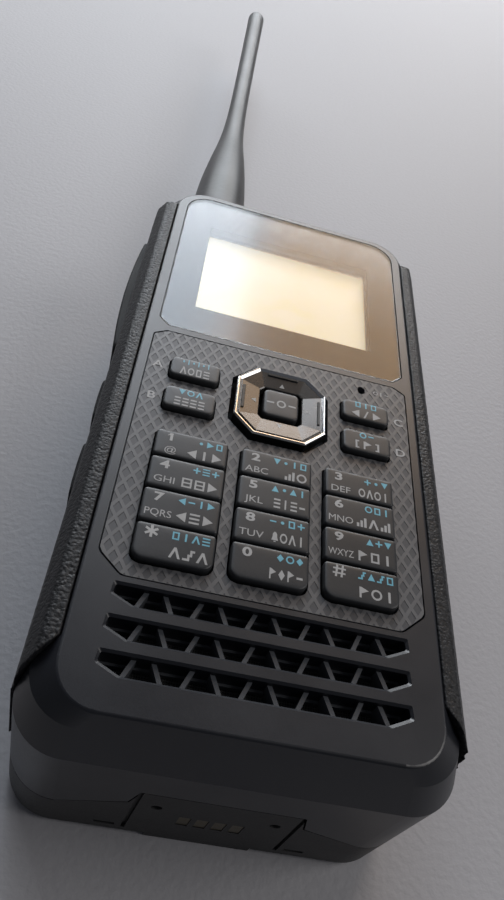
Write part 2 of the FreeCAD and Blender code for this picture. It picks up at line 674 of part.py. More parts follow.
def make_antenna():
    jack = cylinder(jack_radius, (antenna_x, 52.0, mid_z), (antenna_x, 68.0, mid_z))
    jack = jack.fuse(hexagon(antenna_x, mid_z, 5.0, half_length, half_length + 1.4))
    jack = jack.fuse(block(antenna_x - 5, antenna_x + 5, 50.5, 56.9, 14.0, mid_z + 5))
    jack = jack.cut(cylinder(0.7, (antenna_x, 60, mid_z), (antenna_x, 69, mid_z)))
    keep("antenna_jack", jack)
    ferrule = cylinder(4.5, (antenna_x, 62.2, mid_z), (antenna_x, 70.0, mid_z))
    ferrule = ferrule.cut(cylinder(jack_radius + 0.08, (antenna_x, 61, mid_z), (antenna_x, 68.4, mid_z)))
    keep("antenna_ferrule", ferrule)
    outline = [(6.5, 62.0), (6.8, 63.5), (6.75, 82.0), (6.3, 92.0), (5.6, 101.0), (4.9, 108.0),
               (4.1, 115.0), (3.45, 122.0), (3.0, 130.0), (2.75, 140.0), (2.7, 160.0),
               (2.8, 195.0), (2.95, 223.0)]
    curve = Part.BSplineCurve()
    curve.interpolate([Vec(antenna_x + r, y, mid_z) for r, y in outline])
    tip_y = 226.0
    root = Vec(antenna_x + outline[0][0], outline[0][1], mid_z)
    shoulder = Vec(antenna_x + outline[-1][0], outline[-1][1], mid_z)
    bulge = Vec(antenna_x + 2.1, tip_y - 0.75, mid_z)
    crown = Vec(antenna_x + 0.7, tip_y, mid_z)
    sections = [curve.toShape(), Part.Arc(shoulder, bulge, crown).toShape()]
    corners = [crown, Vec(antenna_x, tip_y, mid_z), Vec(antenna_x, root.y, mid_z), root]
    for start, stop in zip(corners, corners[1:]):
        sections.append(Part.LineSegment(start, stop).toShape())
    whip = Part.Face(Part.Wire(sections)).revolve(Vec(antenna_x, 0, mid_z), Y_AXIS, 360)
    whip = whip.cut(cylinder(4.53, (antenna_x, root.y - through, mid_z), (antenna_x, 70.05, mid_z)))
    keep("antenna_whip", whip)


def hexagon(x, z, radius, y0, y1):
    points = []
    for n in range(6):
        turn = math.radians(60 * n)
        points.append(Vec(x + radius * math.cos(turn), y0, z + radius * math.sin(turn)))
    return Part.Face(Part.makePolygon(points + [points[0]])).extrude(Vec(0, y1 - y0, 0))


def make_lamp():
    keep("status_lamp", cylinder(1.2, (0, 57.6, 24), (0, 60.4, 24)))


# ---- battery ----
def make_battery():
    tray = back_shell(-half_length - through, battery_top_y, battery_lid_z)
    tray = tray.cut(rounded_box(-24.5, 24.5, -55.0, battery_top_y - 2.0, 2.2, battery_lid_z + through, 2.0))
    contact_xs = (-3.75, -1.25, 1.25, 3.75)
    for side in (-1, 1):
        tray = tray.cut(plate_groove(side))
        x = side * 14.1
        tray = tray.cut(block(x - 1.5, x + 1.5, -half_length - through, -59.0, 3.4, 4.4))
    latch_space = block(-8.3, 8.3, -half_length - through, -52.6, -0.5, 1.75)
    keep("battery_case", tray.cut(latch_space))
    keep("charge_contacts", group([block(x - 0.8, x + 0.8, -59.9, -59.45, 8.25, 11.95)
                                   for x in contact_xs]))
    lid = back_shell(-half_length - through, battery_top_y, battery_front_z)
    lid = lid.common(block(-40, 40, -70, 40, battery_lid_z + 0.02, battery_front_z + 1))
    for x in (-rail_x, rail_x):
        lid = lid.fuse(block(x - 1.1, x + 1.1, -55.0, battery_top_y - 0.5, battery_front_z - 0.1, 12.4))
    lid = lid.fuse(tongue_shape(0, -half_length, -57.8)).removeSplitter()
    for x in (-8.2, 8.2):
        lid = lid.cut(cylinder(0.8, (x, -60.5, 14.5), (x, -59.3, 14.5)))
    for x in contact_xs:
        lid = lid.cut(block(x - 0.85, x + 0.85, -half_length - through, -59.4, 8.2, 12.0))
    for side in (-1, 1):
        lid = lid.cut(plate_groove(side))
    terminal_xs = (-5.2, -1.7, 1.7, 5.2)
    for x in terminal_xs:
        lid = lid.cut(block(x - 1.1, x + 1.1, -52.0, -47.0, battery_front_z - 0.4, battery_front_z + 1))
    keep("battery_lid", lid)
    keep("battery_terminals", group([block(x - 1.05, x + 1.05, -51.9, -47.1, battery_front_z - 0.38,
                                           battery_front_z + 0.05) for x in terminal_xs]))
    cells = [rounded_box(x0, x0 + 23.2, -54.0, 24.5, 2.3, 7.2, 1.5) for x0 in (-23.8, 0.6)]
    keep("battery_cells", group(cells))
    latch = block(-8.0, 8.0, -half_length + 0.05, -55.6, 0.15, 1.5)
    for n in range(4):
        y = -59.0 + 0.9 * n
        latch = latch.cut(block(-6.0, 6.0, y - 0.2, y + 0.2, 0.1, 0.5))
    keep("release_latch", latch)
    springs = [block(x - 0.7, x + 0.7, -51.0, -48.0, battery_front_z + 0.3, 12.25)
               for x in terminal_xs]
    keep("battery_springs", group(springs))


def plate_groove(side):
    """A fine groove down the end of the battery at one side of the contact plate."""
    low_x = side * (tongue_half_width + 0.5)
    high_x = side * tongue_half_width
    half = 0.3
    points = [Vec(low_x - half, -61, 3.0), Vec(low_x + half, -61, 3.0),
              Vec(high_x + half, -61, tongue_z + 1), Vec(high_x - half, -61, tongue_z + 1)]
    return Part.Face(Part.makePolygon(points + [points[0]])).extrude(Vec(0, 1.5, 0))


def main():
    make_front_case()
    make_grille_ribs()
    make_grips()
    make_rear_chassis()
    screws = make_rear_cover()
    make_display()
    make_bezel()
    make_keys()
    make_direction_pad()
    make_membrane()
    make_electronics(screws)
    make_speaker()
    make_side_buttons()
    make_side_covers()
    make_knobs()
    make_antenna()
    make_lamp()
    make_battery()
    os.makedirs("parts", exist_ok=True)
    for name, shape in sorted(parts.items()):
        if not shape.isValid():
            print("not valid:", name)
        shape.exportStep(os.path.join("parts", name + ".step"))
        print(name, len(shape.Solids), round(shape.Volume, 1))


main()
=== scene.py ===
import json
import math

import bmesh
import bpy
from mathutils import Matrix, Vector, noise


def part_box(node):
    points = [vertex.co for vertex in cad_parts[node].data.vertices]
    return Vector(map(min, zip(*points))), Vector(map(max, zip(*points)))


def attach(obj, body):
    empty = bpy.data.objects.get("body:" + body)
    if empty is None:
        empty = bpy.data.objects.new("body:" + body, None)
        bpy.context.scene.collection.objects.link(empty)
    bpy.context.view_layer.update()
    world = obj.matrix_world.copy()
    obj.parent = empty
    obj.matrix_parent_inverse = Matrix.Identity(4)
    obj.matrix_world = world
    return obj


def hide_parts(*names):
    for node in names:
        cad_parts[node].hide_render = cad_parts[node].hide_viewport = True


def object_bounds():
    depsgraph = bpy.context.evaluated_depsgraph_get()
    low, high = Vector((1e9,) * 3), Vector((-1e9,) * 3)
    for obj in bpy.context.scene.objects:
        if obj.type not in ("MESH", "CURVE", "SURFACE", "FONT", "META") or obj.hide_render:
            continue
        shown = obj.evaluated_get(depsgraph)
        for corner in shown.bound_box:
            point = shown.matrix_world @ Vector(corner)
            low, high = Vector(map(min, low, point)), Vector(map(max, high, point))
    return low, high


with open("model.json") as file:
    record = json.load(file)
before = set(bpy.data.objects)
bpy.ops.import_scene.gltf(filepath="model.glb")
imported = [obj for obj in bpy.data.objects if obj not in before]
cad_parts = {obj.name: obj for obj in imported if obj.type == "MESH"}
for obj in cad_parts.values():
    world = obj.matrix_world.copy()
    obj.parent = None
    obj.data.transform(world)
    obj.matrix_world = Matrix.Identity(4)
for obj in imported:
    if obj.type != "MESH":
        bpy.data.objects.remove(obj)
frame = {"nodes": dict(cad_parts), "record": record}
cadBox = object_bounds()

mm = 0.001
record = frame["record"]
nodes = frame["nodes"]
slotOfNode = {part["node"]: part["material_slot"] for part in record["subparts"]}
print("frame loaded:", len(nodes), "parts")

# view
view = {
    "place": (-0.0207, -0.0890, 0.1192),
    "aim": (-0.0040, -0.0112, 0.0340),
    "roll": 22.1,          # degrees, how far the camera leans about its own axis
    "lens": 29.4,
    "sensor": 36,
    "clipStart": 0.005,
}


def makeCamera():
    data = bpy.data.cameras.new("viewCamera")
    data.lens = view["lens"]
    data.sensor_width = view["sensor"]
    data.clip_start = view["clipStart"]
    camera = bpy.data.objects.new("viewCamera", data)
    bpy.context.scene.collection.objects.link(camera)
    look = Vector(view["aim"]) - Vector(view["place"])
    turn = look.to_track_quat("-Z", "Y").to_matrix() @ Matrix.Rotation(math.radians(view["roll"]), 3, "Z")
    camera.matrix_world = Matrix.Translation(view["place"]) @ turn.to_4x4()
    bpy.context.scene.camera = camera


makeCamera()
bpy.context.scene.view_settings.view_transform = "Standard"

# light and floor
studio = {
    "floorColour": (0.455, 0.45, 0.47),
    "floorTone": 0.04,       # lighter and darker specks, as a share of the colour
    "floorRough": 0.6,
    "floorReach": 3.0,
    "floorGap": 0.00002,
    "grainScale": 900.0,
    "grainBump": 0.5,
    "grainDepth": 0.0002,
    "worldColour": (0.80, 0.84, 0.95),
    "worldStrength": 0.08,
    # name, place, aim, width, height, power in watts, colour
    "lamps": (
        ("windowLight", (-0.10, 1.35, 0.52), (0, 0, 0), 1.7, 0.36, 17.0, (0.92, 0.96, 1.0)),
        ("coolCard", (-0.125, 0.95, 0.72), (0, 0.03, 0.03), 0.43, 0.46, 3.2, (0.80, 0.89, 1.0)),
        ("warmCard", (0.31, 0.92, 0.72), (0, 0.03, 0.03), 0.48, 0.46, 1.7, (1.0, 0.66, 0.38)),
        ("sideLight", (0.95, -0.05, 0.95), (0, 0, 0), 0.7, 0.7, 4.6, (1.0, 0.97, 0.95)),
    ),
}


def makeLights():
    world = bpy.data.worlds.new("studioWorld")
    bpy.context.scene.world = world
    world.use_nodes = True
    background = world.node_tree.nodes["Background"]
    background.inputs["Color"].default_value = (*studio["worldColour"], 1)
    background.inputs["Strength"].default_value = studio["worldStrength"]
    for name, place, aim, width, height, power, colour in studio["lamps"]:
        data = bpy.data.lights.new(name, "AREA")
        data.shape = "RECTANGLE"
        data.size = width
        data.size_y = height
        data.energy = power
        data.color = colour
        lamp = bpy.data.objects.new(name, data)
        bpy.context.scene.collection.objects.link(lamp)
        look = Vector(aim) - Vector(place)
        lamp.matrix_world = Matrix.Translation(place) @ look.to_track_quat("-Z", "Y").to_matrix().to_4x4()


def makeFloor():
    mesh = bpy.data.meshes.new("floor")
    reach = studio["floorReach"]
    low = cadBox[0][2] - studio["floorGap"]
    corners = [(-reach, -reach, low), (reach, -reach, low), (reach, reach, low), (-reach, reach, low)]
    mesh.from_pydata(corners, [], [(0, 1, 2, 3)])
    floor = bpy.data.objects.new("floor", mesh)
    bpy.context.scene.collection.objects.link(floor)
    material = bpy.data.materials.new("floorPaint")
    material.use_nodes = True
    tree = material.node_tree
    shader = tree.nodes["Principled BSDF"]
    shader.inputs["Roughness"].default_value = studio["floorRough"]
    place = tree.nodes.new("ShaderNodeTexCoord")
    speck = tree.nodes.new("ShaderNodeTexNoise")
    speck.inputs["Scale"].default_value = studio["grainScale"]
    tree.links.new(place.outputs["Object"], speck.inputs["Vector"])
    bump = tree.nodes.new("ShaderNodeBump")
    bump.inputs["Strength"].default_value = studio["grainBump"]
    bump.inputs["Distance"].default_value = studio["grainDepth"]
    tree.links.new(speck.outputs["Fac"], bump.inputs["Height"])
    tree.links.new(bump.outputs["Normal"], shader.inputs["Normal"])
    blend = tree.nodes.new("ShaderNodeMix")
    blend.data_type = "RGBA"
    for end, share in (("A", 1 - studio["floorTone"]), ("B", 1 + studio["floorTone"])):
        blend.inputs[end].default_value = (*[c * share for c in studio["floorColour"]], 1)
    tree.links.new(speck.outputs["Fac"], blend.inputs["Factor"])
    tree.links.new(blend.outputs["Result"], shader.inputs["Base Color"])
    mesh.materials.append(material)


makeLights()
makeFloor()
print("studio ready")


# shared surface effects
def startGroup(name, inputs, outputs):
    group = bpy.data.node_groups.new(name, "ShaderNodeTree")
    for label, kind, value in inputs:
        socket = group.interface.new_socket(name=label, in_out="INPUT", socket_type=kind)
        socket.default_value = value
    for label, kind in outputs:
        group.interface.new_socket(name=label, in_out="OUTPUT", socket_type=kind)
    return group, group.nodes.new("NodeGroupInput"), group.nodes.new("NodeGroupOutput")


def addMath(tree, operation, first, second, clamp=False):
    node = tree.nodes.new("ShaderNodeMath")
    node.operation = operation
    node.use_clamp = clamp
    for i, value in enumerate((first, second)):
        if isinstance(value, (int, float)):
            node.inputs[i].default_value = value
        else:
            tree.links.new(value, node.inputs[i])
    return node.outputs[0]


def makeMouldedGroup():
    # the fine spark-eroded grain of moulded plastic, and slow changes of tone
    number = "NodeSocketFloat"
    group, given, result = startGroup("mouldedGrain",
                                      [("Grain Scale", number, 4000), ("Tone Scale", number, 60)],
                                      [("Height", number), ("Tone", number)])
    place = group.nodes.new("ShaderNodeTexCoord")
    grain = group.nodes.new("ShaderNodeTexNoise")
    grain.inputs["Detail"].default_value = 3
    tone = group.nodes.new("ShaderNodeTexNoise")
    tone.inputs["Detail"].default_value = 5
    tone.inputs["Roughness"].default_value = 0.6
    group.links.new(place.outputs["Object"], grain.inputs["Vector"])
    group.links.new(place.outputs["Object"], tone.inputs["Vector"])
    group.links.new(given.outputs["Grain Scale"], grain.inputs["Scale"])
    group.links.new(given.outputs["Tone Scale"], tone.inputs["Scale"])
    group.links.new(grain.outputs["Fac"], result.inputs["Height"])
    mixed = addMath(group, "ADD", addMath(group, "MULTIPLY", grain.outputs["Fac"], 0.4),
                    addMath(group, "MULTIPLY", tone.outputs["Fac"], 0.6))
    group.links.new(mixed, result.inputs["Tone"])
    return group


def makeLeatherGroup():
    # pebbled rubber: rounded cells; the seams between them are painted darker, as painted shade in the
    # hollows
    number = "NodeSocketFloat"
    group, given, result = startGroup("pebbledRubber", [("Cell Scale", number, 1500)],
                                      [("Height", number), ("Tone", number)])
    place = group.nodes.new("ShaderNodeTexCoord")
    warp = group.nodes.new("ShaderNodeTexNoise")
    warp.inputs["Detail"].default_value = 2
    cells = group.nodes.new("ShaderNodeTexVoronoi")
    cells.feature = "SMOOTH_F1"
    group.links.new(place.outputs["Object"], warp.inputs["Vector"])
    group.links.new(given.outputs["Cell Scale"], warp.inputs["Scale"])
    group.links.new(place.outputs["Object"], cells.inputs["Vector"])
    group.links.new(given.outputs["Cell Scale"], cells.inputs["Scale"])
    bump = addMath(group, "ADD", addMath(group, "MULTIPLY", cells.outputs["Distance"], -0.9),
                   addMath(group, "MULTIPLY", warp.outputs["Fac"], 0.9))
    group.links.new(bump, result.inputs["Height"])
    # painted shade: the tone follows the height, so the lower seams come out darker
    group.links.new(addMath(group, "ADD", bump, 0.45, clamp=True), result.inputs["Tone"])
    return group


def makeMetalGroup():
    # drawn or turned metal: fine lines along one axis
    number = "NodeSocketFloat"
    group, given, result = startGroup("drawnLines", [("Line Scale", number, 900)],
                                      [("Height", number), ("Tone", number)])
    place = group.nodes.new("ShaderNodeTexCoord")
    stretch = group.nodes.new("ShaderNodeVectorMath")
    stretch.operation = "MULTIPLY"
    stretch.inputs[1].default_value = (0.08, 1.0, 1.0)
    lines = group.nodes.new("ShaderNodeTexNoise")
    lines.inputs["Detail"].default_value = 4
    group.links.new(place.outputs["Object"], stretch.inputs[0])
    group.links.new(stretch.outputs[0], lines.inputs["Vector"])
    group.links.new(given.outputs["Line Scale"], lines.inputs["Scale"])
    group.links.new(lines.outputs["Fac"], result.inputs["Height"])
    group.links.new(lines.outputs["Fac"], result.inputs["Tone"])
    return group


def makeClothGroup():
    # woven mesh: two sets of threads over a dark ground
    number = "NodeSocketFloat"
    group, given, result = startGroup("wovenMesh", [("Thread Scale", number, 900)],
                                      [("Height", number), ("Tone", number)])
    place = group.nodes.new("ShaderNodeTexCoord")
    heights = []
    for direction in ("X", "Y"):
        wave = group.nodes.new("ShaderNodeTexWave")
        wave.bands_direction = direction
        group.links.new(place.outputs["Object"], wave.inputs["Vector"])
        group.links.new(given.outputs["Thread Scale"], wave.inputs["Scale"])
        heights.append(wave.outputs["Fac"])
    weave = addMath(group, "MAXIMUM", heights[0], heights[1])
    group.links.new(weave, result.inputs["Height"])
    group.links.new(weave, result.inputs["Tone"])
    return group


effects = {
    "moulded": (makeMouldedGroup(), "Grain Scale"),
    "pebbled": (makeLeatherGroup(), "Cell Scale"),
    "drawn": (makeMetalGroup(), "Line Scale"),
    "woven": (makeClothGroup(), "Thread Scale"),
}
print("surface effects ready")


def finish(name, look):
    # one material: an effect drives colour, roughness and bump; fixed values sit on the shader
    material = bpy.data.materials.new(name)
    material.use_nodes = True
    tree = material.node_tree
    shader = tree.nodes["Principled BSDF"]
    group, scaleName = effects[look["effect"]]
    surface = tree.nodes.new("ShaderNodeGroup")
    surface.node_tree = group
    surface.inputs[scaleName].default_value = look["scale"]
    spread = look.get("spread", (0.35, 0.65))
    ramp = tree.nodes.new("ShaderNodeMapRange")
    ramp.inputs["From Min"].default_value = spread[0]
    ramp.inputs["From Max"].default_value = spread[1]
    tree.links.new(surface.outputs["Tone"], ramp.inputs["Value"])
    colour = tree.nodes.new("ShaderNodeMix")
    colour.data_type = "RGBA"
    colour.inputs["A"].default_value = (*look["dark"], 1)
    colour.inputs["B"].default_value = (*look["light"], 1)
    tree.links.new(ramp.outputs["Result"], colour.inputs["Factor"])
    tree.links.new(colour.outputs["Result"], shader.inputs["Base Color"])
    rough = tree.nodes.new("ShaderNodeMapRange")
    rough.inputs["To Min"].default_value = look["rough"][0]
    rough.inputs["To Max"].default_value = look["rough"][1]
    tree.links.new(ramp.outputs["Result"], rough.inputs["Value"])
    tree.links.new(rough.outputs["Result"], shader.inputs["Roughness"])
    bump = tree.nodes.new("ShaderNodeBump")
    bump.inputs["Strength"].default_value = look.get("bump", 0.3)
    bump.inputs["Distance"].default_value = look.get("depth", 0.00003)
    tree.links.new(surface.outputs["Height"], bump.inputs["Height"])
    tree.links.new(bump.outputs["Normal"], shader.inputs["Normal"])
    shader.inputs["Metallic"].default_value = look.get("metallic", 0.0)
    shader.inputs["Coat Weight"].default_value = look.get("coat", 0.0)
    shader.inputs["Coat Roughness"].default_value = 0.08
    shader.inputs["Specular IOR Level"].default_value = look.get("specular", 0.5)
    shader.inputs["Transmission Weight"].default_value = look.get("clear", 0.0)
    shader.inputs["IOR"].default_value = look.get("ior", 1.5)
    # painted light: an emission that stands in for the light falling on the part, which is no lamp
    if "glow" in look:
        tree.links.new(colour.outputs["Result"], shader.inputs["Emission Color"])
        shader.inputs["Emission Strength"].default_value = look["glow"]
    return material


def grey(level, warm=0.0):
    return (level * (1 + warm), level, level * (1 - warm))


# finishes, one for each material slot of the record
def surface(effect, scale, dark, light, rough, **more):
    return {"effect": effect, "scale": scale, "dark": dark, "light": light, "rough": rough, **more}


def moulded(scale, dark, light, rough, **more):
    return surface("moulded", scale, dark, light, rough, **more)


def metal(scale, dark, light, rough):
    return surface("drawn", scale, dark, light, rough, metallic=1.0)


looks = {
    "case_plastic": moulded(5200, (0.005, 0.006, 0.010), (0.009, 0.011, 0.017),
                            (0.35, 0.43), bump=0.18, specular=0.8),
    # the speaker ribs are the case's own black plastic; this lighter grey is a painted highlight for the
    # light the ribs catch
    "rib_plastic": moulded(5200, (0.060, 0.066, 0.076), (0.078, 0.084, 0.096), (0.40, 0.50), bump=0.15),
    "grip_rubber": surface("pebbled", 2300, (0.003, 0.003, 0.004), (0.016, 0.017, 0.020),
                           (0.42, 0.60), bump=0.9, depth=0.00012, spread=(0.2, 0.8), specular=0.4),
    "chassis_metal": metal(700, grey(0.30), grey(0.42), (0.4, 0.55)),
    "back_plastic": moulded(2600, grey(0.020), grey(0.032), (0.46, 0.60), bump=0.5, depth=0.00006),
    "screw_steel": metal(1500, grey(0.16), grey(0.28), (0.3, 0.45)),
    "lens_plastic": moulded(900, grey(0.004), grey(0.007), (0.30, 0.40), bump=0.0, specular=0.0),
    # the display panel's emission is painted light: it stands in for the room light falling on the panel
    "panel_glass": moulded(40, (0.84, 0.74, 0.50), (0.90, 0.84, 0.66),
                           (0.25, 0.30), bump=0.0, glow=0.44),
    "frame_plastic": moulded(3000, grey(0.020), grey(0.030), (0.5, 0.6)),
    "bezel_plastic": moulded(5200, (0.064, 0.066, 0.072), (0.078, 0.080, 0.087),
                             (0.42, 0.52), bump=0.15),
    "key_plastic": moulded(4200, (0.026, 0.028, 0.031), (0.036, 0.038, 0.041), (0.34, 0.44), bump=0.15),
    "side_key_plastic": moulded(4200, (0.028, 0.030, 0.032), (0.038, 0.039, 0.041),
                                (0.34, 0.44), bump=0.15),
    "pad_plastic": moulded(1400, grey(0.090, 0.04), grey(0.100, 0.04),
                           (0.26, 0.28), bump=0.0, metallic=0.7, coat=0.3),
    "pad_chrome": moulded(2400, grey(0.70), grey(0.82), (0.10, 0.16), bump=0.02, metallic=1.0),
    "enter_plastic": moulded(4200, (0.030, 0.031, 0.033), (0.040, 0.041, 0.043),
                             (0.34, 0.44), bump=0.15),
    "membrane_rubber": moulded(1500, grey(0.18), grey(0.24), (0.6, 0.7)),
    "board_laminate": moulded(300, (0.010, 0.060, 0.022), (0.016, 0.100, 0.038), (0.25, 0.35)),
    "shield_steel": metal(900, grey(0.42), grey(0.56), (0.25, 0.4)),
    "capsule_metal": metal(1500, grey(0.40), grey(0.55), (0.3, 0.4)),
    "switch_metal": metal(1500, grey(0.40), grey(0.52), (0.3, 0.4)),
    "speaker_metal": moulded(1500, grey(0.010), grey(0.018), (0.4, 0.5)),
    "speaker_cloth": surface("woven", 900, grey(0.006), grey(0.085),
                             (0.6, 0.8), bump=0.8, depth=0.0001, spread=(0.5, 1.0)),
    "button_rubber": moulded(2600, grey(0.004), grey(0.008), (0.55, 0.66), bump=0.4, specular=0.25),
    "cover_rubber": moulded(2600, grey(0.006), grey(0.011), (0.52, 0.64), bump=0.4, specular=0.35),
    "socket_plastic": moulded(2600, grey(0.012), grey(0.020), (0.35, 0.45)),
    "encoder_metal": metal(900, grey(0.35), grey(0.45), (0.3, 0.4)),
    "shaft_steel": metal(1800, grey(0.45), grey(0.55), (0.2, 0.3)),
    "knob_plastic": moulded(3200, grey(0.014), grey(0.022), (0.4, 0.5), bump=0.3),
    "jack_brass": metal(1500, (0.55, 0.45, 0.28), (0.68, 0.56, 0.36), (0.22, 0.32)),
    "antenna_rubber": moulded(1800, grey(0.014), grey(0.022), (0.34, 0.44), bump=0.25, specular=0.3),
    "lamp_plastic": moulded(1500, (0.5, 0.56, 0.5), (0.62, 0.68, 0.62), (0.15, 0.2)),
    "cell_foil": metal(400, grey(0.38), grey(0.5), (0.3, 0.45)),
    "contact_gold": metal(1500, (0.10, 0.085, 0.05), (0.16, 0.13, 0.08), (0.3, 0.4)),
    "spring_gold": metal(1500, (0.60, 0.45, 0.20), (0.75, 0.58, 0.28), (0.22, 0.32)),
    # finishes for the printed marks, the hatch, the clear lens and the wall of the pad's rim
    "markWhite": moulded(3000, grey(0.36), grey(0.44), (0.45, 0.55), bump=0.05),
    "markBlue": moulded(3000, (0.13, 0.40, 0.52), (0.18, 0.48, 0.60), (0.45, 0.55), bump=0.05),
    "hatchPlastic": moulded(5200, (0.122, 0.122, 0.127), (0.148, 0.148, 0.153), (0.36, 0.46), bump=0.1),
    "lensClear": moulded(300, grey(0.97), grey(1.0), (0.13, 0.17), bump=0.0, clear=1.0, ior=1.45),
    "rimBlack": moulded(4200, grey(0.006), grey(0.012), (0.35, 0.45), bump=0.1),
}
materials = {name: finish(name, look) for name, look in looks.items()}
for name, part in nodes.items():
    part.data.materials.clear()
    part.data.materials.append(materials[slotOfNode[name]])
print("finishes on", len(nodes), "parts")


# mesh tools
def addPiece(name, mesh, body, finishes, smooth=True):
    mesh.validate()
    if mesh.materials:
        mesh.materials.clear()
    for finishName in finishes:
        mesh.materials.append(materials[finishName])
    if smooth:
        mesh.shade_smooth()
    piece = bpy.data.objects.new(name, mesh)
    bpy.context.scene.collection.objects.link(piece)
    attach(piece, body)
    return piece


def outlinePoints(corners, inset=0.0, steps=5):
    # points round an outline of (x, y, radius) corners, anticlockwise, pulled in by inset
    count = len(corners)
    points = []
    for i in range(count):
        here = Vector(corners[i][:2])
        before = (Vector(corners[i - 1][:2]) - here).normalized()
        after = (Vector(corners[(i + 1) % count][:2]) - here).normalized()
        half = before.angle(after) / 2
        inward = (before + after).normalized()
        tip = here + inward * (inset / math.sin(half))
        radius = max(corners[i][2] - inset, 0.00003)
        centre = tip + inward * (radius / math.sin(half))
        start = tip + before * (radius / math.tan(half)) - centre
        sweep = math.pi - 2 * half
        for step in range(steps + 1):
            turn = Matrix.Rotation(sweep * step / steps, 2)
            points.append(centre + turn @ start)
    return points


def loftSolid(mesh, levels, capLow=True, capHigh=True):
    # closed skin through loops of equal length, from the lowest to the highest
    loops = [[mesh.verts.new(point) for point in level] for level in levels]
    count = len(loops[0])
    for low, high in zip(loops, loops[1:]):
        for i in range(count):
            j = (i + 1) % count
            mesh.faces.new((low[i], low[j], high[j], high[i]))
    if capLow:
        mesh.faces.new(list(reversed(loops[0])))
    if capHigh:
        mesh.faces.new(loops[-1])
    return loops


def toMesh(name, build):
    build.normal_update()
    mesh = bpy.data.meshes.new(name)
    build.to_mesh(mesh)
    build.free()
    return mesh


# keys
keyShape = {
    # distance in from the wall, height below the crown
    "profile": ((0.0, 0.42), (0.03, 0.26), (0.09, 0.14), (0.18, 0.07),
                (0.32, 0.035), (0.6, 0.018), (1.2, 0.006), (1.8, 0.0)),
    "lowRadius": 1.6 * mm,
    "radius": 0.55 * mm,
    "sideRadius": 0.95 * mm,
    "flange": 0.6 * mm,
}
numberKeys = ("key_1", "key_2", "key_3", "key_4", "key_5", "key_6", "key_7", "key_8", "key_9",
              "key_star", "key_0", "key_hash")
sideKeys = ("key_a", "key_b", "key_c", "key_d")


def keyCorners(name):
    low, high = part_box(name)
    flange = 0 if name == "enter_key" else keyShape["flange"]
    x0, x1 = low.x + flange, high.x - flange
    lower = keyShape["lowRadius"] if name in ("key_star", "key_0", "key_hash") else keyShape["radius"]
    upper = keyShape["radius"]
    if name in sideKeys or name == "enter_key":
        lower = upper = keyShape["sideRadius"]
    return [(x0, low.y, lower), (x1, low.y, lower), (x1, high.y, upper), (x0, high.y, upper)]


def crownDrop(distance):
    # how far the top lies below its crown at a distance in from the wall
    profile = keyShape["profile"]
    for (d0, h0), (d1, h1) in zip(profile, profile[1:]):
        if distance <= d1 * mm:
            share = max(0.0, (distance / mm - d0) / (d1 - d0))
            return (h0 + (h1 - h0) * share) * mm
    return 0.0


def makeKeyCap(name):
    low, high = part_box(name)
    corners = keyCorners(name)
    levels = [[Vector((p.x, p.y, low.z)) for p in outlinePoints(corners)]]
    half = min(corners[1][0] - corners[0][0], corners[2][1] - corners[1][1]) / 2
    for inset, drop in keyShape["profile"]:
        distance = min(inset * mm, half * 0.96)
        outline = outlinePoints(corners, distance)
        levels.append([Vector((p.x, p.y, high.z - drop * mm)) for p in outline])
        if distance < inset * mm:
            break
    build = bmesh.new()
    loftSolid(build, levels)
    return toMesh(name + "Cap", build)


for name in numberKeys + sideKeys + ("enter_key",):
    cap = addPiece(name + ".cap", makeKeyCap(name), name, [slotOfNode[name]])
    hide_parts(name)
print("key caps made")

# printed marks
marks = {
    "thickness": 0.02 * mm,
    "digitHeight": 1.5 * mm,
    "starHeight": 2.0 * mm,
    "letterHeight": 1.22 * mm,
    "letterWidth": 3.9 * mm,  # of the widest group of letters
    "signHeight": 1.72 * mm,
    "smallSignHeight": 1.28 * mm,
    "rowWidth": 5.3 * mm,     # of the widest row of large signs
    "edge": 0.8 * mm,         # from a row to the right edge of its key
    "spacing": 1.12,          # of the signs in a row, as a share of their height
    "digitBold": 0.03,
    "digitWide": 1.4,
    # middles, measured from the left and upper edges of a key
    "digitIn": 2.2 * mm,
    "letterIn": 2.5 * mm,
    "upperDrop": 1.38 * mm,
    # middles, measured from the middle of a key
    "letterDrop": 1.3 * mm,
    "signDrop": 1.2 * mm,
    "sideSignDrop": 0.85 * mm,
    "sideSmallLift": 1.3 * mm,
    "enterHeight": 1.7 * mm,
}
# digit, letters, large signs, small signs
keyMarks = {
    "key_1": ("one", "@", ("left", "stem", "right"), ("dot", "right", "frame")),
    "key_2": ("2", "ABC", ("rise", "ring"), ("down", "dot", "stem", "frame")),
    "key_3": ("3", "DEF", ("ring", "wave", "ring", "stem"), ("plus", "dot", "down")),
    "key_4": ("4", "GHI", ("letter", "letter", "right"), ("plus", "lines", "plus")),
    "key_5": ("5", "JKL", ("lines", "stem", "lines", "dash"), ("up", "dot", "up", "stem")),
    "key_6": ("6", "MNO", ("rise", "wave", "rise"), ("ring", "frame", "stem")),
    "key_7": ("7", "PQRS", ("left", "lines", "right"), ("left", "dash", "stem", "right")),
    "key_8": ("8", "TUV", ("bell", "ring", "wave", "stem"), ("dash", "dot", "frame", "plus")),
    "key_9": ("9", "WXYZ", ("flag", "frame", "stem"), ("up", "plus", "down")),
    "key_star": ("star", "", ("wave", "steps", "wave"), ("frame", "stem", "wave", "lines")),
    "key_0": ("0", "", ("flag", "diamond", "flag", "dash"), ("diamond", "ring", "diamond")),
    "key_hash": ("hash", "", ("flag", "ring", "stem"), ("steps", "up", "steps", "frame")),
}


def bar(x0, y0, x1, y1):
    return [(x0, y0), (x1, y0), (x1, y1), (x0, y1)]


def onCircle(x, y, radius, n, count):
    angle = 2 * math.pi * n / count
    return (x + radius * math.cos(angle), y + radius * math.sin(angle))


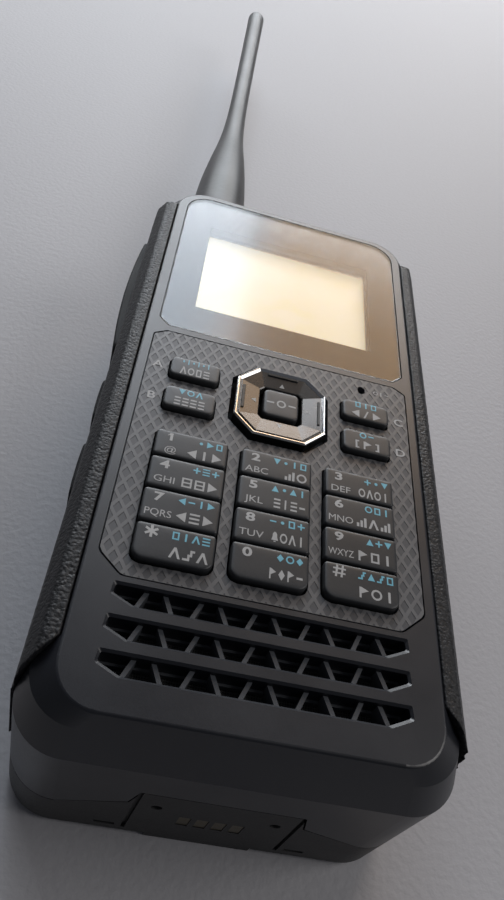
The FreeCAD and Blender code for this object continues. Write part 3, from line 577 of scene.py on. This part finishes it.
def disc(x, y, radius, count=14):
    return [onCircle(x, y, radius, n, count) for n in range(count)]


def ringParts(x, y, outer, inner, count=18):
    return [[onCircle(x, y, inner, n, count), onCircle(x, y, outer, n, count),
             onCircle(x, y, outer, n + 1, count), onCircle(x, y, inner, n + 1, count)]
            for n in range(count)]


def starArms(count, half):
    # arms that meet in the middle, cut so that they don't overlap
    arms = []
    for n in range(count):
        turn = Matrix.Rotation(2 * math.pi * n / count, 2)
        near = half / math.tan(math.pi / count)
        shape = [(0, 0), (half, near), (half, 0.5), (-half, 0.5), (-half, near)]
        arms.append([tuple(turn @ Vector(point) + Vector((0, 0.5))) for point in shape])
    return arms


# plain signs, each about one unit wide and high, standing on y = 0 and centred on x = 0
signs = {
    "right": [[(-0.42, 0), (0.45, 0.5), (-0.42, 1)]],
    "left": [[(0.42, 0), (0.42, 1), (-0.45, 0.5)]],
    "up": [[(-0.46, 0.05), (0.46, 0.05), (0, 0.95)]],
    "down": [[(-0.46, 0.95), (0, 0.05), (0.46, 0.95)]],
    "stem": [bar(-0.11, 0, 0.11, 1)],
    "ring": ringParts(0, 0.5, 0.5, 0.32),
    "frame": [bar(-0.4, 0, 0.4, 0.18), bar(-0.4, 0.82, 0.4, 1),
              bar(-0.4, 0.18, -0.22, 0.82), bar(0.22, 0.18, 0.4, 0.82)],
    "plus": [bar(-0.45, 0.4, 0.45, 0.6), bar(-0.1, 0.05, 0.1, 0.4), bar(-0.1, 0.6, 0.1, 0.95)],
    "dash": [bar(-0.4, 0.4, 0.4, 0.6)],
    "lines": [bar(-0.45, 0, 0.45, 0.18), bar(-0.45, 0.41, 0.45, 0.59), bar(-0.45, 0.82, 0.45, 1)],
    "rise": [bar(-0.48, 0, -0.24, 0.4), bar(-0.12, 0, 0.12, 0.7), bar(0.24, 0, 0.48, 1)],
    "diamond": [[(0, 0), (0.42, 0.5), (0, 1), (-0.42, 0.5)]],
    "dot": [disc(0, 0.5, 0.22)],
    "wave": [[(-0.5, 0), (-0.28, 0), (0.0, 0.7), (0.0, 1.0), (-0.1, 1.0)],
             [(0.5, 0), (0.1, 1.0), (0.0, 1.0), (0.0, 0.7), (0.28, 0)]],
    "letter": [bar(-0.46, 0, 0.46, 0.16), bar(-0.46, 0.84, 0.46, 1), bar(-0.46, 0.16, -0.3, 0.84),
               bar(0.3, 0.16, 0.46, 0.84), bar(-0.3, 0.42, 0.3, 0.56)],
    "bell": [[(-0.46, 0.16), (0.46, 0.16), (0.32, 0.45), (0.28, 0.8),
              (0.1, 1), (-0.1, 1), (-0.28, 0.8), (-0.32, 0.45)],
             bar(-0.14, 0, 0.14, 0.1)],
    "flag": [bar(-0.4, 0, -0.22, 1), [(-0.22, 0.4), (0.45, 0.7), (-0.22, 1)]],
    "steps": [bar(-0.5, 0, -0.1, 0.2), bar(-0.1, 0, 0.1, 0.6),
              bar(0.1, 0.4, 0.3, 1), bar(0.3, 0.8, 0.5, 1)],
    "bracketLeft": [bar(-0.1, 0, 0.1, 1), bar(0.1, 0, 0.3, 0.16), bar(0.1, 0.84, 0.3, 1)],
    "bracketRight": [bar(-0.1, 0, 0.1, 1), bar(-0.3, 0, -0.1, 0.16), bar(-0.3, 0.84, -0.1, 1)],
    "slash": [[(-0.3, 0), (-0.12, 0), (0.3, 1), (0.12, 1)]],
    "star": starArms(6, 0.095),
    "one": [bar(-0.04, 0, 0.24, 1), [(-0.34, 0.62), (-0.04, 0.74), (-0.04, 1.0)]],
    "hash": [bar(-0.5, 0.24, 0.46, 0.38), bar(-0.46, 0.62, 0.5, 0.76),
             [(-0.34, 0), (-0.18, 0), (-0.16, 0.24), (-0.31, 0.24)],
             [(-0.29, 0.38), (-0.14, 0.38), (-0.11, 0.62), (-0.26, 0.62)],
             [(-0.24, 0.76), (-0.09, 0.76), (-0.07, 1), (-0.22, 1)],
             [(0.08, 0), (0.24, 0), (0.26, 0.24), (0.11, 0.24)],
             [(0.13, 0.38), (0.28, 0.38), (0.31, 0.62), (0.16, 0.62)],
             [(0.18, 0.76), (0.33, 0.76), (0.35, 1), (0.2, 1)]],
    "arrowTip": [[(-0.55, 0), (0.55, 0), (0, 1)]],
}


def addSign(build, name, centre, height, level, materialIndex, turn=0.0, squeeze=1.0):
    # prisms for one sign, resting on the surface given by level(x, y)
    thickness = marks["thickness"]
    spin = Matrix.Rotation(turn, 2)
    for shape in signs[name]:
        flat = [Vector(centre) + spin @ Vector((x * height * squeeze, (y - 0.5) * height))
                for x, y in shape]
        area = sum(a.x * b.y - b.x * a.y for a, b in zip(flat, flat[1:] + flat[:1]))
        if area < 0:
            flat.reverse()
        low = [build.verts.new((p.x, p.y, level(p.x, p.y) - thickness)) for p in flat]
        high = [build.verts.new((p.x, p.y, level(p.x, p.y) + thickness)) for p in flat]
        faces = [build.faces.new(high), build.faces.new(list(reversed(low)))]
        for i in range(len(flat)):
            j = (i + 1) % len(flat)
            faces.append(build.faces.new((low[i], low[j], high[j], high[i])))
        for face in faces:
            face.material_index = materialIndex


def addRow(build, names, centre, height, level, materialIndex, right=None):
    # signs side by side: centred on a point, or ending at the height of that point and at right
    fitting = (marks["rowWidth"] - height * 0.8) / max(len(names) - 1, 1)
    pitch = min(height * marks["spacing"], fitting)
    squeeze = min(0.95, 0.85 * pitch / height)
    reach = (len(names) - 1) * pitch / 2
    middle = centre[0] if right is None else right - reach - height * squeeze / 2
    for n, name in enumerate(names):
        place = (middle - reach + n * pitch, centre[1])
        addSign(build, name, place, height, level, materialIndex, squeeze=squeeze)


def addText(build, text, centre, height, level, materialIndex, bold=0.0, wide=1.15):
    # solid characters from the built-in font, centred on a point and resting on the surface
    curve = bpy.data.curves.new("lettering", "FONT")
    curve.body = text
    curve.size = 1.0
    curve.offset = bold
    curve.extrude = 0.02
    curve.resolution_u = 3
    curve.align_x = "CENTER"
    holder = bpy.data.objects.new("lettering", curve)
    bpy.context.scene.collection.objects.link(holder)
    bpy.context.view_layer.update()
    mesh = bpy.data.meshes.new_from_object(holder.evaluated_get(bpy.context.evaluated_depsgraph_get()))
    bpy.data.objects.remove(holder)
    bpy.data.curves.remove(curve)
    capHeight = 0.729                 # of a capital in that font, for a size of 1
    scale = height / capHeight
    lift = capHeight / 2
    reach = max(vertex.co.x for vertex in mesh.vertices)
    wide = min(wide, marks["letterWidth"] / (2 * reach * scale))
    for vertex in mesh.vertices:
        x = centre[0] + vertex.co.x * scale * wide
        y = centre[1] + (vertex.co.y - lift) * scale
        side = marks["thickness"] if vertex.co.z > 0 else -marks["thickness"]
        vertex.co = (x, y, level(x, y) + side)
    for polygon in mesh.polygons:
        polygon.material_index = materialIndex
    build.from_mesh(mesh)
    bpy.data.meshes.remove(mesh)


def keyLevel(name):
    corners = keyCorners(name)
    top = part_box(name)[1].z
    x0, x1, y0, y1 = corners[0][0], corners[1][0], corners[0][1], corners[2][1]
    return lambda x, y: top - crownDrop(min(x - x0, x1 - x, y - y0, y1 - y))


def markKey(name, paint):
    build = bmesh.new()
    paint(build, keyLevel(name))
    mesh = toMesh(name + "Marks", build)
    addPiece(name + ".marks", mesh, name, ["markWhite", "markBlue"], smooth=False)


def markNumberKey(name):
    digit, letters, large, small = keyMarks[name]
    corners = keyCorners(name)
    left, right = corners[0][0], corners[1][0]
    middle = (corners[0][1] + corners[2][1]) / 2
    upper = corners[2][1] - marks["upperDrop"]
    digitPlace = (left + marks["digitIn"], upper)
    letterPlace = (left + marks["letterIn"], middle - marks["letterDrop"])
    end = right - marks["edge"]

    def paint(build, level):
        if digit in signs:
            height = marks["digitHeight"] if digit == "one" else marks["starHeight"]
            addSign(build, digit, digitPlace, height, level, 0)
        else:
            addText(build, digit, digitPlace, marks["digitHeight"], level, 0,
                    bold=marks["digitBold"], wide=marks["digitWide"])
        if letters:
            addText(build, letters, letterPlace, marks["letterHeight"], level, 0)
        addRow(build, large, (0, middle - marks["signDrop"]), marks["signHeight"], level, 0, right=end)
        addRow(build, small, (0, upper), marks["smallSignHeight"], level, 1, right=end)

    markKey(name, paint)


def markSideKey(name, large, small):
    corners = keyCorners(name)
    x, y = (corners[0][0] + corners[1][0]) / 2, (corners[0][1] + corners[2][1]) / 2

    def paint(build, level):
        addRow(build, large, (x, y - marks["sideSignDrop"]), marks["signHeight"], level, 0)
        addRow(build, small, (x, y + marks["sideSmallLift"]), marks["smallSignHeight"], level, 1)

    markKey(name, paint)


def markEnterKey():
    low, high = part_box("enter_key")
    middle = tuple((low.xy + high.xy) / 2)
    names = ("dash", "ring", "dash")
    markKey("enter_key", lambda build, level: addRow(build, names, middle, marks["enterHeight"], level, 0))


for name in numberKeys:
    markNumberKey(name)
for name, large, small in (
        ("key_a", ("wave", "ring", "frame", "lines"), ("dot", "stem", "dot", "stem", "dot", "stem")),
        ("key_b", ("lines", "lines", "lines", "lines"), ("down", "ring", "wave")),
        ("key_c", ("left", "slash", "right"), ("frame", "stem", "frame")),
        ("key_d", ("bracketLeft", "flag", "bracketRight"), ("ring", "dash"))):
    markSideKey(name, large, small)
markEnterKey()
print("keys marked")

# direction pad
padShape = {
    "outer": 7.12 * mm, "outerCut": 3.15 * mm,
    "inner": 3.72 * mm, "innerCut": 0.75 * mm,
    "edgeDrop": 0.16 * mm,      # outer edge of the facets below the rim's top
    "bowl": 0.42 * mm,          # further drop at the enter key
    "bevel": 0.14 * mm,
    "lugY": 5.7 * mm,           # the two lugs on which the pad rocks
    "lugHalfX": 0.3 * mm,
    "lugHalfY": 0.5 * mm,
    "ledgeNear": 6.35 * mm,     # the raised ledges, out from the middle
    "ledgeFar": 6.85 * mm,
    "ledgeHalf": 2.7 * mm,
    "rimCut": 3.4 * mm,
    "rimGap": 0.03 * mm,        # between the facets and the rim
    "arrowOut": 4.75 * mm,
    "arrowHeight": 0.85 * mm,
}
padMiddle = (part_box("direction_pad")[0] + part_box("direction_pad")[1]) / 2


def octagonPoints(half, cut, z):
    side = half - cut
    ring = [(side, -half), (half, -side), (half, side), (side, half),
            (-side, half), (-half, side), (-half, -side), (-side, -half)]
    return [Vector((padMiddle.x + x, padMiddle.y + y, z)) for x, y in ring]


def padLevel(x, y):
    # height of the facets at a point
    reach = max(abs(x - padMiddle.x), abs(y - padMiddle.y))
    share = (padShape["outer"] - reach) / (padShape["outer"] - padShape["inner"])
    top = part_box("pad_rim")[1].z - padShape["edgeDrop"]
    return top - padShape["bowl"] * min(max(share, 0), 1)


def makePad():
    low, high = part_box("pad_rim")[0].z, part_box("pad_rim")[1].z
    top = high - padShape["edgeDrop"]
    outer, cut = padShape["outer"], padShape["outerCut"]
    inner, innerCut, bevel = padShape["inner"], padShape["innerCut"], padShape["bevel"]
    levels = [
        octagonPoints(inner, innerCut, low),
        octagonPoints(outer, cut, low),
        octagonPoints(outer, cut, top - bevel),
        octagonPoints(outer - bevel, cut - bevel * 0.4, top),
        octagonPoints(inner + bevel, innerCut, top - padShape["bowl"]),
        octagonPoints(inner, innerCut, top - padShape["bowl"] - bevel),
        octagonPoints(inner, innerCut, low),
    ]
    build = bmesh.new()
    loftSolid(build, levels, capLow=False, capHigh=False)
    bmesh.ops.remove_doubles(build, verts=build.verts, dist=1e-7)
    halfX, halfY = padShape["lugHalfX"], padShape["lugHalfY"]
    for lugY in (padMiddle.y - padShape["lugY"], padMiddle.y + padShape["lugY"]):
        foot = [(padMiddle.x + x * halfX, lugY + y * halfY) for x, y in ((-1, -1), (1, -1), (1, 1), (-1, 1))]
        loftSolid(build, [[Vector((x, y, z)) for x, y in foot]
                          for z in (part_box("direction_pad")[0].z, low + 0.1 * mm)])
    facets = len(build.faces)
    # a raised black ledge at the middle of each side but the lowest
    near, far, half = padShape["ledgeNear"], padShape["ledgeFar"], padShape["ledgeHalf"]
    for turn in (0, 1, 3):
        spin = Matrix.Rotation(turn * math.pi / 2, 2)
        levels = []
        for inset, lift in ((0.0, -0.1 * mm), (0.0, 0.13 * mm), (0.08 * mm, 0.2 * mm)):
            corners = ((-half + inset, near + inset), (half - inset, near + inset),
                       (half - inset, far - inset), (-half + inset, far - inset))
            flats = [spin @ Vector(corner) + padMiddle.xy for corner in corners]
            levels.append([Vector((p.x, p.y, padLevel(p.x, p.y) + lift)) for p in flats])
        loftSolid(build, levels)
    build.faces.ensure_lookup_table()
    for face in build.faces[facets:]:
        face.material_index = 1
    return toMesh("directionPad", build)


pad = addPiece("direction_pad.facets", makePad(), "pad",
               ["pad_plastic", "rimBlack"], smooth=False)
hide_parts("direction_pad")


def makeRim():
    # a black wall with a fine bright edge on top
    low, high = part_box("pad_rim")
    half = (high.x - low.x) / 2
    cut = padShape["rimCut"]
    # the edge's section: distance in from the wall, height above the rim's top
    edge = ((0.0, -0.42), (0.0, -0.30), (0.07, -0.10), (0.22, 0.0), (0.36, -0.02), (0.50, -0.16))
    inner = padShape["outer"] + padShape["rimGap"]
    levels = [octagonPoints(inner, padShape["outerCut"], low.z), octagonPoints(half, cut, low.z)]
    for inset, rise in edge:
        levels.append(octagonPoints(half - inset * mm, cut - inset * 0.4 * mm, high.z + rise * mm))
    brightLow = 0.30 * mm         # how far the bright edge reaches down
    levels.append(octagonPoints(inner, padShape["outerCut"], high.z - brightLow))
    levels.append(octagonPoints(inner, padShape["outerCut"], low.z))
    build = bmesh.new()
    loftSolid(build, levels, capLow=False, capHigh=False)
    bmesh.ops.remove_doubles(build, verts=build.verts, dist=1e-7)
    for face in build.faces:
        lowest = min(v.co.z for v in face.verts)
        face.material_index = 1 if lowest > high.z - brightLow - 0.01 * mm else 0
    return toMesh("padRim", build)


rim = addPiece("pad_rim.edge", makeRim(), "pad",
               ["rimBlack", "pad_chrome"], smooth=False)
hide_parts("pad_rim")


def makePadArrows():
    build = bmesh.new()
    for quarter in range(4):
        turn = quarter * math.pi / 2
        centre = Matrix.Rotation(turn, 2) @ Vector((0, padShape["arrowOut"])) + padMiddle.xy
        addSign(build, "arrowTip", tuple(centre), padShape["arrowHeight"], padLevel, 0, turn=turn)
    return toMesh("padArrows", build)


addPiece("direction_pad.arrows", makePadArrows(), "pad", ["markWhite"], smooth=False)
print("direction pad made")

# keypad panel: a raised diamond lattice
hatch = {
    "pitchX": 1.94 * mm,
    "pitchY": 3.2 * mm,
    "diamond": 0.68,          # size of a diamond, as a share of the pitch
    "firstX": -22.3 * mm,     # middle of one diamond
    "firstY": -8.35 * mm,
    "height": 0.05 * mm,
}


def applyModifiers(piece):
    graph = bpy.context.evaluated_depsgraph_get()
    mesh = bpy.data.meshes.new_from_object(piece.evaluated_get(graph))
    piece.modifiers.clear()
    piece.data = mesh


def linked(name, mesh):
    holder = bpy.data.objects.new(name, mesh)
    bpy.context.scene.collection.objects.link(holder)
    return holder


def makeHatch():
    panel = nodes["keypad_bezel"]
    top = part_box("keypad_bezel")[1].z
    build = bmesh.new()
    build.from_mesh(panel.data)
    bmesh.ops.remove_doubles(build, verts=build.verts, dist=1e-7)
    rest = [f for f in build.faces if not all(abs(v.co.z - top) < 2e-6 for v in f.verts)]
    bmesh.ops.delete(build, geom=rest, context="FACES")
    raised = bmesh.ops.extrude_face_region(build, geom=build.faces[:])
    for vertex in [g for g in raised["geom"] if isinstance(g, bmesh.types.BMVert)]:
        vertex.co.z += hatch["height"]
    bmesh.ops.recalc_face_normals(build, faces=build.faces)
    slab = linked("hatchSlab", toMesh("hatchSlab", build))
    low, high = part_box("keypad_bezel")
    cutters = bmesh.new()
    stepX, stepY = hatch["pitchX"] / 2, hatch["pitchY"] / 2
    halfX, halfY = stepX * hatch["diamond"], stepY * hatch["diamond"]
    firstRow = int((low.y - hatch["firstY"]) / stepY) - 1
    lastRow = int((high.y - hatch["firstY"]) / stepY) + 1
    lastColumn = int((high.x - hatch["firstX"]) / stepX) + 1
    for row in range(firstRow, lastRow + 1):
        for column in range(-2, lastColumn + 1):
            if (row + column) % 2:
                continue
            x = hatch["firstX"] + column * stepX
            y = hatch["firstY"] + row * stepY
            ring = ((x - halfX, y), (x, y - halfY), (x + halfX, y), (x, y + halfY))
            loftSolid(cutters, [[Vector((px, py, z)) for px, py in ring]
                                for z in (top - hatch["height"], top + 2 * hatch["height"])])
    cutter = linked("hatchCutters", toMesh("hatchCutters", cutters))
    trim = slab.modifiers.new("diamonds", "BOOLEAN")
    trim.operation = "DIFFERENCE"
    trim.solver = "MANIFOLD"
    trim.object = cutter
    applyModifiers(slab)
    mesh = slab.data
    bpy.data.objects.remove(slab)
    bpy.data.objects.remove(cutter)
    return mesh


addPiece("keypad_bezel.hatch", makeHatch(), "housing", ["hatchPlastic"],
         smooth=False)
print("hatch made")

# letters beside the side keys, and signs beside the microphone's hole
sideLetters = {
    "places": (("A", -21.5, 3.2), ("B", -21.45, -4.3), ("C", 21.65, 3.1), ("D", 21.6, -4.1)),
    "height": 1.6 * mm,
    "bold": 0.02,
    "signPlace": (18.7 * mm, 9.2 * mm),
    "signHeight": 0.95 * mm,
}


def makeSideLetters():
    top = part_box("keypad_bezel")[1].z + hatch["height"]
    build = bmesh.new()

    def level(x, y):
        return top

    for letter, x, y in sideLetters["places"]:
        addText(build, letter, (x * mm, y * mm), sideLetters["height"], level, 0, bold=sideLetters["bold"])
    names = ("ring", "stem", "dash")
    addRow(build, names, sideLetters["signPlace"], sideLetters["signHeight"], level, 0)
    return toMesh("sideLetters", build)


addPiece("keypad_bezel.letters", makeSideLetters(), "housing", ["markWhite"],
         smooth=False)

# display lens: clear plate over a black border
lens = {
    "clearThickness": 0.8 * mm,
    "windowHalf": 17.3 * mm,
    "windowLow": 21.1 * mm,
    "windowHigh": 48.2 * mm,
    "bevel": 0.06 * mm,
    "arcSteps": 8,
}


def lensCorners():
    low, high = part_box("display_lens")
    cut, small, large = 1.9 * mm, 0.8 * mm, 5.0 * mm
    return [(low.x + cut, low.y, small), (high.x - cut, low.y, small), (high.x, low.y + cut, small),
            (high.x, high.y, large), (low.x, high.y, large), (low.x, low.y + cut, small)]


def makeLensPlate():
    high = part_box("display_lens")[1]
    bevel = lens["bevel"]
    build = bmesh.new()
    levels = []
    for inset, drop in ((0, lens["clearThickness"]), (0, bevel), (bevel, 0)):
        outline = outlinePoints(lensCorners(), inset, lens["arcSteps"])
        levels.append([Vector((p.x, p.y, high.z - drop)) for p in outline])
    loftSolid(build, levels)
    return toMesh("lensPlate", build)


def makeLensBorder():
    low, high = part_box("display_lens")
    top = high.z - lens["clearThickness"] - 0.01 * mm
    window = [(-lens["windowHalf"], lens["windowLow"]), (lens["windowHalf"], lens["windowLow"]),
              (lens["windowHalf"], lens["windowHigh"]), (-lens["windowHalf"], lens["windowHigh"])]
    build = bmesh.new()
    outline = outlinePoints(lensCorners(), 0.0, lens["arcSteps"])
    loops = []
    for z in (low.z, top):
        outer = [build.verts.new((p.x, p.y, z)) for p in outline]
        inner = [build.verts.new((x, y, z)) for x, y in window]
        loops.append((outer, inner))
    for outer, inner in loops:
        edges = []
        for ring in (outer, inner):
            for i in range(len(ring)):
                edges.append(build.edges.new((ring[i], ring[(i + 1) % len(ring)])))
        bmesh.ops.triangle_fill(build, use_beauty=True, use_dissolve=False, edges=edges)
    for ringIndex in (0, 1):
        lowRing, highRing = loops[0][ringIndex], loops[1][ringIndex]
        for i in range(len(lowRing)):
            j = (i + 1) % len(lowRing)
            build.faces.new((lowRing[i], lowRing[j], highRing[j], highRing[i]))
    bmesh.ops.recalc_face_normals(build, faces=build.faces)
    return toMesh("lensBorder", build)


plate = addPiece("display_lens.plate", makeLensPlate(), "housing", ["lensClear"],
                 smooth=False)
border = addPiece("display_lens.border", makeLensBorder(), "housing", ["lens_plastic"],
                  smooth=False)
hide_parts("display_lens")
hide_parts("display_lens")
print("lens made")

# grips: pebbled rubber
grip = {
    "voxel": 0.30 * mm,
    "cell": 0.8 * mm,         # size of a pebble
    "depth": 0.07 * mm,
    "flat": 0.35,             # share of the depth that is taken off everywhere
}


def makeGrip(name):
    source = linked(name + "Skin", nodes[name].data.copy())
    remesh = source.modifiers.new("skin", "REMESH")
    remesh.mode = "VOXEL"
    remesh.voxel_size = grip["voxel"]
    applyModifiers(source)
    mesh = source.data
    bpy.data.objects.remove(source)
    places = [vertex.co.copy() for vertex in mesh.vertices]
    normals = [vertex.normal.copy() for vertex in mesh.vertices]
    moved = []
    for place, normal in zip(places, normals):
        near = noise.voronoi(place / grip["cell"])[0][0]
        depth = grip["depth"] * (grip["flat"] + (1 - grip["flat"]) * min(near * 1.3, 1.0))
        moved.extend(place - normal * depth)
    mesh.vertices.foreach_set("co", moved)
    mesh.update()
    return mesh


for name in ("side_grip_left", "side_grip_right"):
    skin = addPiece(name + ".skin", makeGrip(name), "housing", ["grip_rubber"])
    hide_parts(name)
print("grips made")
